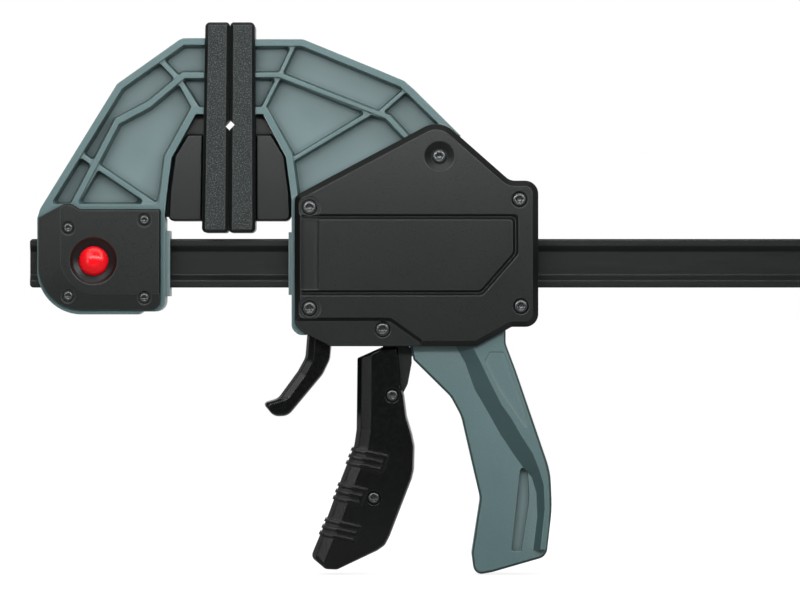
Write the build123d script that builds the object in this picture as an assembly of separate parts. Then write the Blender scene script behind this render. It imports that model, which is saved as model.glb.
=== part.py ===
from build123d import *
import os
from math import atan2, cos, degrees, radians, sin, tan

# Quick release bar clamp, one handed, shown with its jaws closed.
# X runs along the bar and points the way the moving jaw opens, Z is up, towards the jaws'
# pads, and Y is the clamp's width. The origin is on the bar's axis, below the plane where
# the two pads meet. Sizes are in millimetres.

# ---- Driving dimensions -------------------------------------------------------------------
# The bar, a rolled I section.
bar_height = 22.0
bar_thickness = 9.5
bar_web = 4.6  # thickness of the thin middle of the section
bar_flange = 3.2  # height of the full thickness edge strips
bar_slope = 2.5  # height of the sloping faces between strip and web
bar_left = -90.3
opening = 305.0  # largest gap between the pads
bar_tail = 16.0  # bar left beyond the moving jaw when it is fully open

# Both jaws.
throat_depth = 97.4  # from the bar's upper edge to the pads' upper edge
arm_width = 28.0
arm_web = 9.0  # middle sheet of the ribbed arms
arm_draft = 0.11  # how far the pockets' walls lean in, per depth
rim = 3.0
fixed_rib = 2.4  # the spine that follows the arm
fixed_short_rib = 2.1
moving_rib = 1.8
moving_short_rib = 1.5
open_end = 2.0  # how far the pockets run on behind the pads
low_rib = 1.8  # how far the short ribs stand below the arm's face
rib_step = 0.3  # ledge round the pockets at the short ribs' height
pad_thickness = 11.0  # at the pad's upper edge
pad_swell = 0.9  # more thickness at its lower edge
pad_lean = 0.7  # how far the meeting plane leans over the pad's height
pad_width = 32.0
pad_groove = 2.4  # depth of the V grooves that hold round work
pad_gap = 0.3  # between the closed pads
carrier_width = 24.0

# The hubs that ride on the bar.
hub_step = 1.0  # how far the moving hub stands out from its arm, per side
bay_width = 19.0  # room inside the moving hub for the plates
plate_thickness = 3.0
cover_thickness = 4.5
cover_bevel = 2.6

# Screws.
screw_radius = 1.75
screw_head = 3.2
screw_head_height = 1.5
cover_screw_length = 8.0
plate_screw_radius = 1.5
plate_screw_head = 2.3
plate_screw_length = 9.0

# Trigger, drive and brake.
trigger_width = 25.0
trigger_core = 8.0  # thickness of the core's tongue between the two shells
pivot_x = 69.0
pivot_drop = 18.8  # pivot below the bar's lower edge
pivot_radius = 3.2
drive_x = 76.2
drive_plate = 2.4
drive_gap = 0.12
plate_tail = 12.0  # width of the lower ends of the drive plates
brake_plate = 4.0
brake_x = 43.0
brake_tilt = 6.0  # degrees that the brake plate leans when it holds
lever_width = 22.0

# Button and lock of the fixed jaw.
button_x = -61.1
button_z = 1.0
button_radius = 6.4
button_travel = 5.0
lock_radius = 4.0
lock_neck = 1.8
lock_bite = 2.0  # how far the lock pin reaches into the bar's notch

# Clearances.
slide_gap = 0.25  # bar in the moving jaw, per side
seat_gap = 0.1  # between pieces that are held together
run_gap = 0.05  # radial, pins that turn or slide in a hole
free_gap = 0.4  # between pieces that pass each other

# ---- Places worked out from them ----------------------------------------------------------
half_bar = bar_thickness / 2
bar_right_of_hub = 139.0  # right edge of the moving hub, jaws closed
bar_right = bar_right_of_hub + opening + bar_tail
half_arm = arm_width / 2
half_hub = half_arm + hub_step
half_bay = bay_width / 2
cover_face = half_hub + cover_thickness
plate_face = half_arm + plate_thickness


def above(height):
    """Z of a point this far above the bar's upper edge."""
    return bar_height / 2 + height


def below(depth):
    """Z of a point this far below the bar's lower edge."""
    return -bar_height / 2 - depth


def reach(share):
    """Z of a point at this share of the throat depth."""
    return above(share * throat_depth)


pad_top = reach(1.0)
pad_bottom = above(2.7)
pivot_z = below(pivot_drop)


def seam(z):
    """X of the plane where the closed pads meet."""
    return pad_lean * ((z - pad_bottom) / (pad_top - pad_bottom) - 0.5)


def pad_back(side, z):
    """X of a pad's back face: side is -1 for the fixed jaw and 1 for the moving one."""
    swell = pad_swell * (pad_top - z) / (pad_top - pad_bottom)
    return seam(z) + side * (pad_gap / 2 + pad_thickness + swell)


# ---- Small tools --------------------------------------------------------------------------
def outline(*points):
    """A flat face from (x, z) or (x, z, radius) points, with radii held to their sides' room."""
    corners = [Vector(*p[:2]) for p in points]
    radii = []
    for n, here in enumerate(corners):
        one, other = corners[n - 1] - here, corners[(n + 1) % len(corners)] - here
        room = 0.49 * min(one.length, other.length) * tan(radians(one.get_angle(other) / 2))
        radii.append(min(points[n][2], room) if len(points[n]) == 3 else 0)
    return make_face(FilletPolyline(*corners, radius=radii, close=True))


def inset(points, depth):
    """The straight sided outline of the points, moved inwards."""
    return offset(outline(*[p[:2] for p in points]), -depth, kind=Kind.INTERSECTION)


def disc(x, z, radius):
    return Pos(x, z) * Circle(radius)


def prism(face, front, back):
    """Extrude a side view outline across the clamp, from y = front to y = back."""
    return extrude(Plane.XZ.offset(-back) * face, amount=back - front, dir=(0, -1, 0))


def bevelled(face, width, bevel):
    """A prism of the outline, centred, with both of its rims chamfered."""
    body = prism(face, -width / 2, width / 2)
    ends = body.faces().filter_by(Plane.XZ)
    return chamfer(ends.edges(), bevel)


def moved_in(corners, cuts):
    """The corners of an outline, clockwise, with the side from each moved in by its own cut."""
    moved = []
    for n, corner in enumerate(corners):
        here, before = Vector(*corner[:2]), Vector(*corners[n - 1][:2])
        after = Vector(*corners[(n + 1) % len(corners)][:2])
        come, go = (here - before).normalized(), (after - here).normalized()
        crossing = come.X * go.Y - come.Y * go.X
        x = (cuts[n] * come.X - cuts[n - 1] * go.X) / crossing
        z = (cuts[n] * come.Y - cuts[n - 1] * go.Y) / crossing
        moved.append((here.X + x, here.Y + z, *corner[2:]))
    return moved


def tapered(corners, y_from, y_to, cuts):
    """A prism along Y whose sides move in by the cuts on the way from y_from to y_to."""
    cuts = cuts if isinstance(cuts, list) else [cuts] * len(corners)
    start = Plane.XZ.offset(-y_from) * outline(*corners)
    end = Plane.XZ.offset(-y_to) * outline(*moved_in(corners, cuts))
    return loft([start.face(), end.face()], ruled=True)


def crowned(corners, cuts, half, drop, grow=0):
    """A prism whose rims curve in, each side by its own cut, over the last drop of its width."""
    level = moved_in(corners, [-grow] * len(corners))
    y = half + grow - drop
    body = prism(outline(*level), -y, y)
    for cut_share, drop_share in ((0.3, 0.55), (0.7, 0.45)):
        steps = [cut * cut_share for cut in cuts]
        top = y + drop * drop_share
        body += tapered(level, -y, -top, steps)
        body += tapered(level, y, top, steps)
        level, y = moved_in(level, steps), top
    return body


def dents(areas, surface, depth, lean):
    """Pockets in the front and rear faces, at half width surface, with leaning walls."""
    cuts = [tapered(corners, -surface, depth - surface, lean) for corners in areas]
    return cuts + [mirror(cut, about=Plane.XZ) for cut in cuts]


def rod_y(x, z, y_from, y_to, radius):
    return Pos(x, (y_from + y_to) / 2, z) * Rot(90, 0, 0) * Cylinder(radius, y_to - y_from)


def cone_y(x, z, y_from, y_to, radius_from, radius_to):
    """A cone along +Y whose radius goes from radius_from to radius_to."""
    tall = y_to - y_from
    return Pos(x, (y_from + y_to) / 2, z) * Rot(-90, 0, 0) * Cone(radius_from, radius_to, tall)


def block(x, y, z):
    """A box from three (low, high) pairs."""
    middle = Pos((x[0] + x[1]) / 2, (y[0] + y[1]) / 2, (z[0] + z[1]) / 2)
    return middle * Box(x[1] - x[0], y[1] - y[0], z[1] - z[0])


def band(points, width):
    """Flat strips of one width along a line of points, for ribs."""
    strips = Sketch()
    for a, b in zip(points, points[1:]):
        run = Vector(*b) - Vector(*a)
        turn = degrees(atan2(run.Y, run.X))
        strip = Rot(0, 0, turn) * Rectangle(run.length + width, width)
        strips += Pos((a[0] + b[0]) / 2, (a[1] + b[1]) / 2) * strip
    return strips


def corners_of(face, radius):
    """The corners of a straight sided face, clockwise and rounded, without the needless ones."""
    sides = face.outer_wire().order_edges()
    corners = []
    for one, other in zip(sides[-1:] + sides[:-1], sides):
        ends = [(a - b).length for a in (one @ 0, one @ 1) for b in (other @ 0, other @ 1)]
        corner = one @ (0 if min(ends[:2]) < min(ends[2:]) else 1)
        if all((corner - kept).length > radius for kept in corners):
            corners.append(corner)
    around = zip(corners[-1:] + corners, corners, corners[1:] + corners[:1])
    corners = [c for before, c, after in around if (before - c).get_angle(after - c) < 175]
    area = sum(a.X * b.Y - b.X * a.Y for a, b in zip(corners[-1:] + corners, corners))
    return [(c.X, c.Y, radius) for c in (reversed(corners) if area > 0 else corners)]


def pockets(area, ribs, radius=1.2):
    """The rounded corners of each piece that the ribs leave of an area."""
    return [corners_of(face, radius) for face in (area - ribs).faces() if face.area > 20 * radius]


def coil(radius, wire, length, turns):
    """A compression spring along +Z, standing on the origin."""
    rise = length - 2 * wire
    path = Helix(rise / turns, rise, radius, center=(0, 0, wire))
    start = Plane(path @ 0, x_dir=(0, 0, 1), z_dir=path % 0)
    return sweep(start * Circle(wire), path=path, is_frenet=True)


def screw(radius, head, head_height, length):
    """A button head screw along +Y, its head's seat on the origin and its socket at -Y."""
    cap = rod_y(0, 0, -head_height, 0, head)
    cap = fillet(cap.faces().sort_by(Axis.Y)[0].edges(), head_height * 0.5)
    shank = rod_y(0, 0, 0, length, radius)
    shank = chamfer(shank.faces().sort_by(Axis.Y)[-1].edges(), radius * 0.3)
    socket = prism(RegularPolygon(head * 0.45, 6), -head_height - 1, -head_height * 0.3)
    return cap + shank - socket


def on_both_sides(piece):
    """A piece on the front and its like, turned round the Z axis, for the rear."""
    return [piece, mirror(piece, about=Plane.XZ)]


def save(node, shape):
    solids = shape if isinstance(shape, list) else [shape]
    solids = [s for piece in solids for s in piece.solids()]
    export_step(Compound(children=solids) if len(solids) > 1 else solids[0], f"parts/{node}.step")


os.makedirs("parts", exist_ok=True)

# ---- Bar and its stop pin -----------------------------------------------------------------
lock_z = below(lock_radius - lock_bite)
stop_x = bar_right - bar_tail * 0.75
stop_radius = 2.0


def bar_section():
    flange = bar_height / 2 - bar_flange
    web = flange - bar_slope
    quarter = [(half_bar, bar_height / 2), (half_bar, flange), (bar_web / 2, web)]
    right = quarter + [(y, -z) for y, z in reversed(quarter)]
    left = [(-y, z) for y, z in reversed(right)]
    radii = [0.8, 0.6, 0.6, 0.6, 0.6, 0.8]
    return make_face(FilletPolyline(*(right + left), radius=radii + radii, close=True))


bar_length = bar_right - bar_left
bar_top = bar_height / 2
bar = extrude(Plane.YZ.offset(bar_left) * bar_section(), amount=bar_length, dir=(1, 0, 0))
lock_inset = button_x - bar_left
for notch_x in (button_x, bar_right - lock_inset):
    bar -= rod_y(notch_x, lock_z, -bar_thickness, bar_thickness, lock_radius + seat_gap)
bar -= rod_y(stop_x, 0, -bar_thickness, bar_thickness, stop_radius + run_gap / 2)
bar_ends = [(x, z, 1.6) for x, z in ((bar_left, -bar_top), (bar_left, bar_top))]
bar_ends += [(x, z, 1.6) for x, z in ((bar_right, bar_top), (bar_right, -bar_top))]
bar &= prism(outline(*bar_ends), -half_bar, half_bar)
save("bar", bar)
save("bar_stop_pin", rod_y(stop_x, 0, -half_bar - 1.6, half_bar + 1.6, stop_radius))

# ---- Pads and the carriers behind them ----------------------------------------------------
tongue_depth = 4.0
tongue_half = 3.0
groove_z = reach(0.526)
head_low = reach(0.576)
arm_top = reach(0.927)
carrier_top = reach(0.484)
carrier_bottom = above(8.0)
root_bottom = carrier_bottom + 2.0
# The arms' edges behind the carriers, from the head down, for either side.
throat_edge = {
    -1: [(-15.2, head_low), (-26.1, reach(0.373)), (-28.3, reach(0.198)), (-29.2, root_bottom)],
    1: [(15.2, head_low), (25.4, reach(0.38)), (28.0, reach(0.18)), (28.0, root_bottom)],
}


def tongues(side, grow):
    """The two ridges on a pad's back that plug into the arm's head and the carrier."""
    ridges = []
    for low, high in ((reach(0.64), reach(0.86)), (reach(0.16), reach(0.40))):
        ends = [pad_back(side, z) for z in (low, high)]
        deep = [x + side * (tongue_depth + grow) for x in ends]
        face = outline(
            (ends[0] - side, low - grow),
            (deep[0], low - grow),
            (deep[1], high + grow),
            (ends[1] - side, high + grow),
        )
        ridges.append(prism(face, -tongue_half - grow, tongue_half + grow))
    return ridges[0] + ridges[1]


def pad(side):
    face = outline(
        (pad_back(side, pad_bottom), pad_bottom, 2.2),
        (pad_back(side, pad_top), pad_top, 2.2),
        (seam(pad_top) + side * pad_gap / 2, pad_top, 1.6),
        (seam(pad_bottom) + side * pad_gap / 2, pad_bottom, 1.6),
    )
    body = prism(face, -pad_width / 2, pad_width / 2)
    body = chamfer(body.faces().filter_by(Plane.XZ).edges(), 1.5)
    middle = seam(groove_z)
    across = outline(
        (middle - pad_groove, groove_z),
        (middle, groove_z + pad_groove),
        (middle + pad_groove, groove_z),
        (middle, groove_z - pad_groove),
    )
    body -= prism(across, -pad_width, pad_width)
    upright = Pos(middle, 0, pad_bottom) * Rot(0, 0, 45) * Box(
        pad_groove * 1.414, pad_groove * 1.414, 3 * throat_depth
    )
    body -= upright
    return body + tongues(side, 0)


def carrier(side):
    """The wedge that backs the lower half of a pad, with a narrow root behind it."""
    top_back, low_back = pad_back(side, carrier_top), pad_back(side, carrier_bottom)
    face = outline(
        (top_back + side * seat_gap, carrier_top),
        (side * 19.0, carrier_top, 1),
        (side * 24.9, reach(0.384), 3),
        (side * 27.1, reach(0.213)),
        (side * 27.6, carrier_bottom, 2.5),
        (low_back + side * seat_gap, carrier_bottom),
    )
    body = bevelled(face, carrier_width, 0.9)
    root = outline(
        (pad_back(side, head_low) + side * seat_gap, head_low - seat_gap),
        *[(x - side * seat_gap, z - seat_gap) for x, z in throat_edge[side]],
        (side * 20.0, root_bottom - seat_gap),
        (side * 20.0, carrier_top - 6),
        (top_back + side * seat_gap, carrier_top - 6),
    )
    body += prism(root, -4, 4)
    return body - tongues(side, seat_gap)


for jaw, side in (("fixed", -1), ("moving", 1)):
    save(f"{jaw}_pad", pad(side))
    save(f"{jaw}_pad_carrier", carrier(side))

# ---- Fixed jaw body -----------------------------------------------------------------------
def arm_pockets(area, spine, rib, short_ribs):
    """A shallow pocket on each side of an arm's spine, and the deep ones between its short ribs."""
    shallow = pockets(area, band(spine, rib))
    floor = offset(area, -rib_step, kind=Kind.INTERSECTION)
    deep = pockets(floor, band(spine, rib + 2 * rib_step) + short_ribs)
    start = half_arm - low_rib + seat_gap
    depth = start - arm_web / 2
    cuts = dents(shallow, half_arm, low_rib, arm_draft * low_rib)
    return cuts + dents(deep, start, depth, arm_draft * depth)


fixed_left = -86.5
fixed_right = -28.8
fixed_bottom = below(12.1)
fixed_heel = 20.0
pocket_low = above(15.4)
fixed_screws = [
    (-72.5, above(4.8)),
    (-38.2, above(8.4)),
    (-72.5, below(3.8)),
    (-38.2, below(4.6)),
]
fixed_corners = [
    (pad_back(-1, head_low) - seat_gap, head_low),
    (pad_back(-1, arm_top) - seat_gap, arm_top),
    (-21.5, arm_top, 6),
    (-50.6, reach(0.715), 4),
    (-85.2, reach(0.138), 3),
    (fixed_left, above(9.2), 2),
    (fixed_left, fixed_bottom, fixed_heel),
    (-41.0, fixed_bottom, 1),
    (-39.2, fixed_bottom + 1.3, 1),
    (fixed_right, fixed_bottom + 1.3, 5),
    (fixed_right, above(9.0), 0.5),
    *reversed(throat_edge[-1]),
]
fixed_outline = outline(*fixed_corners)
fixed_spine = [(0, reach(0.755)), (-20.6, reach(0.755)), (-35.7, reach(0.625))]
fixed_spine += [(-50.6, reach(0.541)), (-71.0, reach(0.14))]
fixed_short_ribs = (
    band([(-31.4, reach(0.83)), (-22.7, reach(0.735)), (-15.0, reach(0.608))], fixed_short_rib)
    + band([(-66.8, reach(0.388)), (-59.5, reach(0.335)), (-33.0, reach(0.15))], fixed_short_rib)
)
fixed_end = [(x + rim + open_end, z) for x, z in fixed_corners[:2]]
fixed_inside = inset(fixed_end + fixed_corners[2:], rim)
fixed_area = fixed_inside & outline((-100, pocket_low), (-100, pad_top), (0, pad_top), (0, pocket_low))
fixed_body = prism(fixed_outline, -half_arm, half_arm)
fixed_collar = block((fixed_right - 1, -26.8), (-12, 12), (below(3.9), above(3.6)))
fixed_body += fixed_collar
fixed_body -= arm_pockets(fixed_area, fixed_spine, fixed_rib, fixed_short_ribs)
fixed_body -= block(
    (fixed_left - 1, fixed_right + 3),
    (-half_bar - seat_gap, half_bar + seat_gap),
    (below(seat_gap), above(seat_gap)),
)
fixed_body -= tongues(-1, seat_gap)
for x, z in fixed_screws:
    fixed_body -= rod_y(x, z, -half_arm, half_arm, plate_screw_radius + run_gap)

# Pocket of the button, its arm and the lock pin.
button_flange = button_radius + 1.6
button_back = -half_arm + 0.2  # the flange's face behind the plate
arm_plate = 1.8  # thickness of the flange and of the arm
button_floor = button_back + arm_plate + button_travel + free_gap
arm_half = 3.0
fixed_body -= rod_y(button_x, button_z, -half_arm, button_floor, button_flange + free_gap)
fixed_body -= block(
    (button_x - arm_half - free_gap, button_x + arm_half + free_gap),
    (-half_arm, button_floor),
    (lock_z - arm_half - free_gap, button_z),
)
fixed_body -= rod_y(button_x, lock_z, button_floor - 1, 0, lock_neck + 0.3)
fixed_body -= rod_y(button_x, lock_z, -1, half_arm, lock_radius + run_gap * 2)
save("fixed_jaw_body", fixed_body)

# ---- Cheek plates of the fixed jaw, and their screws --------------------------------------
plate_inset = 0.6
plate_outline = outline(
    (fixed_left + plate_inset, above(9.6), 1),
    (-74.4, above(15.6), 1.5),
    (-70.8, above(15.6), 1.5),
    (-67.1, above(13.3), 1),
    (-30.9, above(13.3), 1),
    (-30.9, below(10.0), 4.5),
    (fixed_left + plate_inset, below(10.0), fixed_heel - plate_inset),
)
lower_band = [
    (-100, above(20)),
    (-76.0, above(20)),
    (-76.0, below(3.0), 16),
    (0, below(3.0)),
    (0, below(30)),
    (-100, below(30)),
]
band_step = 0.3
band_fall = 1.0  # how much further the band falls away over its slope
band_slope = 7.0
plate = prism(plate_outline, -plate_face, -half_arm)
plate = chamfer(plate.faces().sort_by(Axis.Y)[0].edges(), 0.7)
band_top = band_step - plate_face
plate -= prism(outline(*lower_band), -plate_face - 1, band_top)
plate -= tapered(lower_band, band_top, band_top + band_fall, [0, band_slope, band_slope, 0, 0, 0])
for x, z in fixed_screws:
    plate -= rod_y(x, z, -plate_face - 1, -plate_face + 1.4, plate_screw_head + 0.9)
    plate -= rod_y(x, z, -plate_face - 1, 0, plate_screw_radius + run_gap)
rear_plate = mirror(plate, about=Plane.XZ)
bowl = [(-0.01, button_radius + 4.3), (1.3, button_radius + 2.9), (2.6, button_radius + 0.3)]
for (start, wide), (stop, narrow) in zip(bowl, bowl[1:]):
    plate -= cone_y(button_x, button_z, start - plate_face, stop - plate_face, wide, narrow)
plate -= rod_y(button_x, button_z, -plate_face, 0, bowl[-1][1])
save("fixed_front_plate", plate)
save("fixed_rear_plate", rear_plate)
plate_screws = []
for x, z in fixed_screws:
    one = screw(plate_screw_radius, plate_screw_head, screw_head_height * 0.85, plate_screw_length)
    plate_screws += on_both_sides(Pos(x, -plate_face + 1.4, z) * one)
save("fixed_plate_screws", plate_screws)

# ---- Button, lock pin and lock spring -----------------------------------------------------
dome_rise = 2.6
dome_edge = -plate_face + 2.0
dome_radius = (button_radius**2 + dome_rise**2) / (2 * dome_rise)
dome = Pos(button_x, dome_edge - dome_rise + dome_radius, button_z) * Sphere(dome_radius)
button = rod_y(button_x, button_z, dome_edge - dome_rise, button_back + arm_plate, button_radius)
button = button & dome
button += rod_y(button_x, button_z, dome_edge, button_back + arm_plate, button_radius)
button += rod_y(button_x, button_z, button_back, button_back + arm_plate, button_flange)
button += block(
    (button_x - arm_half, button_x + arm_half),
    (button_back, button_back + arm_plate),
    (lock_z - arm_half, button_z),
)
save("release_button", button)
lock_big = half_bar - 0.4
lock_tail = half_arm - button_travel - 1.0
lock_pin = rod_y(button_x, lock_z, button_back + arm_plate, 0.2, lock_neck)
lock_pin += rod_y(button_x, lock_z, 0, lock_big, lock_radius)
lock_pin += rod_y(button_x, lock_z, lock_big - 0.2, lock_tail, lock_neck)
save("lock_pin", lock_pin)
lock_wire = 0.35
lock_spring = coil(lock_radius - 1.2, lock_wire, half_arm - lock_big - 0.2, 5)
save("lock_spring", Pos(button_x, lock_big + 0.1, lock_z) * Rot(-90, 0, 0) * lock_spring)

# ---- Moving jaw body ----------------------------------------------------------------------
hub_left = throat_edge[1][-1][0]
hub_right = bar_right_of_hub
mouth_top = below(14.3)  # ceiling of the mouth that the trigger and the lever come out of
cover_screws = [
    (94.5, above(37.0)),
    (36.1, above(14.0)),
    (130.5, above(17.6)),
    (36.1, below(9.4)),
    (131.2, below(8.4)),
]
arm_corners = [
    (pad_back(1, head_low) + seat_gap, head_low),
    *throat_edge[1][:3],
    (hub_left, above(0)),
    (104.0, above(0)),
    (104.0, above(46.5)),
    (83.0, reach(0.691), 3),
    (78.6, reach(0.73), 4),
    (65.3, reach(0.787), 3),
    (33.2, reach(0.922), 6),
    (pad_back(1, arm_top) + seat_gap, reach(0.922)),
]
arm_outline = outline(*arm_corners)
hub_corners = [
    (hub_left, above(18.2), 3),
    (91.6, above(51.6), 9),
    (96.6, above(51.6), 9),
    (125.4, above(25.4), 5),
    (hub_right - 0.8, above(25.4), 5),
    (hub_right - 0.8, below(17.0), 6),
    (127.0, below(17.0), 2),
    (111.3, below(25.6), 1),
    (82.0, below(26.0)),
    (82.0, mouth_top),
    (34.6, mouth_top),
    (34.6, below(21.4)),
    (31.0, below(21.4), 4),
    (hub_left, below(18.4), 4),
]
hub_outline = outline(*hub_corners)
handle_outline = outline(
    (80.0, below(20.0)),
    (82.9, below(32.6)),
    (99.6, below(49.1), 12),
    (104.4, below(58.0), 16),
    (112.9, below(94.8), 8),
    (109.1, below(119.8), 6),
    (110.4, below(129.6), 6),
    (118.1, below(128.3), 4),
    (142.8, below(121.2), 5),
    (145.3, below(99.5), 60),
    (144.6, below(83.0), 40),
    (141.2, below(73.0), 60),
    (129.0, below(37.4)),
    (124.4, below(25.2), 6),
    (124.4, below(17.5)),
)
moving_spine = [(0, reach(0.756)), (22.5, reach(0.756)), (65.3, reach(0.582))]
moving_spine += [(70.8, reach(0.565)), (88.0, reach(0.381))]
moving_short_ribs = (
    band([(30.0, reach(0.917)), (22.6, reach(0.755)), (15.0, reach(0.6))], moving_short_rib)
    + band([(64.5, reach(0.59)), (25.5, reach(0.348))], moving_short_rib)
    + band([(81.5, reach(0.708)), (67.5, reach(0.581))], moving_short_rib)
)
first, *between, last = arm_corners
moving_end = [(x - rim - open_end, z) for x, z in (first, last)]
moving_inside = inset([moving_end[0], *between, moving_end[1]], rim)
moving_area = moving_inside & outline(
    (0, above(12)), (0, pad_top), (110, pad_top), (110, above(42)), (94.5, above(47.5)), (34.0, above(15.3))
)

# The handle's rear edge is a raised rim, with a sloping face in front of it.
rim_foot = [(98.5, 20.0), (101.6, 26.7), (105.7, 33.8), (110.0, 45.9), (115.1, 54.6)]
rim_foot += [(121.5, 66.1), (127.2, 74.7), (131.5, 80.8), (135.9, 85.5), (138.0, 92.6)]
rim_foot += [(138.4, 103.4), (136.6, 118.0)]
rim_ridge = [(106.4, 20.0), (109.7, 26.7), (113.2, 33.8), (118.6, 45.0), (122.4, 52.5)]
rim_ridge += [(127.0, 59.0), (131.5, 66.8), (136.6, 74.7), (139.5, 81.9), (141.6, 89.0)]
rim_ridge += [(142.0, 99.8), (140.0, 118.0)]
rim_rear = [(142.4, 118.0), (143.6, 108.0), (144.1, 100.0), (144.0, 93.0), (143.3, 86.0)]
rim_rear += [(142.0, 79.5), (140.1, 73.5), (128.1, 37.6), (123.6, 25.4), (123.6, 20.0)]
rim_rise = 3.6
half_handle = half_hub - rim_rise


def handle_rim():
    """The raised rim of one side of the handle, a ruled solid from its foot to its ridge."""
    levels = []
    for line, y in ((rim_foot, half_handle - 0.2), (rim_ridge, half_hub)):
        corners = [(x, -y, below(depth)) for x, depth in line + rim_rear]
        levels.append(make_face(Polyline(*corners, close=True)))
    return loft(levels, ruled=True)


moving_body = prism(arm_outline, -half_arm, half_arm)
moving_body -= arm_pockets(moving_area, moving_spine, moving_rib, moving_short_ribs)
hub = prism(hub_outline, -half_hub, half_hub)
spare = pockets(
    inset(hub_corners, rim) & outline(
        (40, above(18)), (40, above(60)), (128, above(60)), (128, above(18))
    ),
    Pos(*cover_screws[0]) * Rectangle(13, 13) + Pos(*cover_screws[2]) * Rectangle(12, 12),
)
hub -= dents(spare, half_hub, half_hub - arm_web / 2, 0.3)
handle = bevelled(handle_outline, 2 * half_handle, 1.0)
raised = handle_rim()
handle += raised
handle += mirror(raised, about=Plane.XZ)
slot = [
    (131.0, below(81.0), 2.2),
    (134.4, below(81.6), 2.2),
    (135.2, below(95.0), 30),
    (131.6, below(118.8), 1),
    (127.0, below(118.8), 1),
]
handle -= dents([slot], half_handle, 2.5, 0.3)
facet = [
    (117.2, below(28.9), 1),
    (123.4, below(28.9), 1),
    (126.6, below(37.8), 4),
    (134.0, below(58.5), 3),
    (134.4, below(65.0), 1),
    (127.3, below(54.6), 4),
    (121.5, below(45.9), 4),
    (114.9, below(33.2), 1),
]
handle -= dents([facet], half_hub, 0.4, 0.1)
moving_body += hub
moving_body += handle

# Bay for the plates and springs, open below for the trigger and the lever.
wall_left = 35.0
wall_right = 120.0
brake_top = above(9.5)
drive_top = above(9.0)
drive_stack = 3 * drive_plate + 2 * drive_gap
bay = outline(
    (wall_left, mouth_top - 1.0),
    (wall_left, above(4.0), 1),
    (brake_x - brake_plate, above(4.0)),
    (brake_x - brake_plate, brake_top + 1.2, 1),
    (brake_x + brake_plate, brake_top + 1.2, 1),
    (brake_x + brake_plate, above(4.0)),
    (drive_x - 4, above(4.0)),
    (drive_x - 4, drive_top + 1, 1),
    (drive_x + drive_stack + 9, drive_top + 1, 1),
    (drive_x + drive_stack + 9, above(2.0)),
    (wall_right, above(2.0), 1),
    (wall_right, below(13.0), 1),
    (drive_x + 20, below(13.0), 1),
    (drive_x + 20, below(38.0), 3),
    (50, below(50.0)),
    (50, mouth_top - 1.0),
)
moving_body -= prism(bay, -half_bay, half_bay)
mouth = outline(
    (34.6, below(60)), (34.6, mouth_top, 1), (84.5, mouth_top, 2), (84.5, below(60))
)
moving_body -= prism(mouth & hub_outline, -half_hub, half_hub)
seat_x = (52.5, 56.0)  # wall that the brake spring pushes on
moving_body += block(seat_x, (-half_bay - 0.5, half_bay + 0.5), (below(13.6), below(1.0)))
moving_body += block((26.6, hub_left + 1), (-12, 12), (below(3.3), above(3.0)))
moving_body -= block(
    (20, hub_right + 5),
    (-half_bar - slide_gap, half_bar + slide_gap),
    (below(slide_gap), above(slide_gap)),
)
moving_body -= tongues(1, seat_gap)
screw_seat = 1.6
screw_hole = screw_head + 0.5
screw_dish = 0.6  # depth of the wide shallow dish round the two left screws
for x, z in cover_screws:
    moving_body -= rod_y(x, z, -half_hub, half_hub, screw_radius + run_gap)
save("moving_jaw_body", moving_body)

# ---- Covers of the moving hub, and their screws -------------------------------------------
cover_left = 29.4
cover_corner = cover_bevel + 0.5  # the bevel needs this much at an outward corner
cover_outline = outline(
    (cover_left, above(19.2), cover_corner + 1),
    (94.7, above(53.9), 11.5),
    (126.2, above(26.1), 6),
    (hub_right, above(26.1), 6),
    (hub_right, below(17.7), 7),
    (127.0, below(17.7), 2),
    (111.2, below(26.4), cover_corner),
    (45.6, below(26.4), cover_corner),
    (33.4, below(20.2), cover_corner),
    (cover_left, below(16.8), cover_corner + 1),
)
apron = [
    (20, below(13.4), 1),
    (72.7, below(13.4), 3),
    (87.4, below(23.8), 3),
    (89.2, below(40), 1),
    (20, below(40), 1),
]
panel = [
    (30, above(9.8), 2),
    (128.8, above(9.8), 2),
    (128.8, 4.3, 3),
    (113.4, below(2.4), 3),
    (30, below(2.4), 2),
]
groove_width = 2.6
groove_depth = 1.5
groove_lean = 1.2
pivot_seat = 2.2
ledge = 1.7  # width of the apron's sloping upper edge
scoop_x = 36.4  # the panel's hollow left end
scoop_radius = 8.0
scoop_depth = 1.2
scoop_low, scoop_high = below(1.0), above(8.6)


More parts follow.
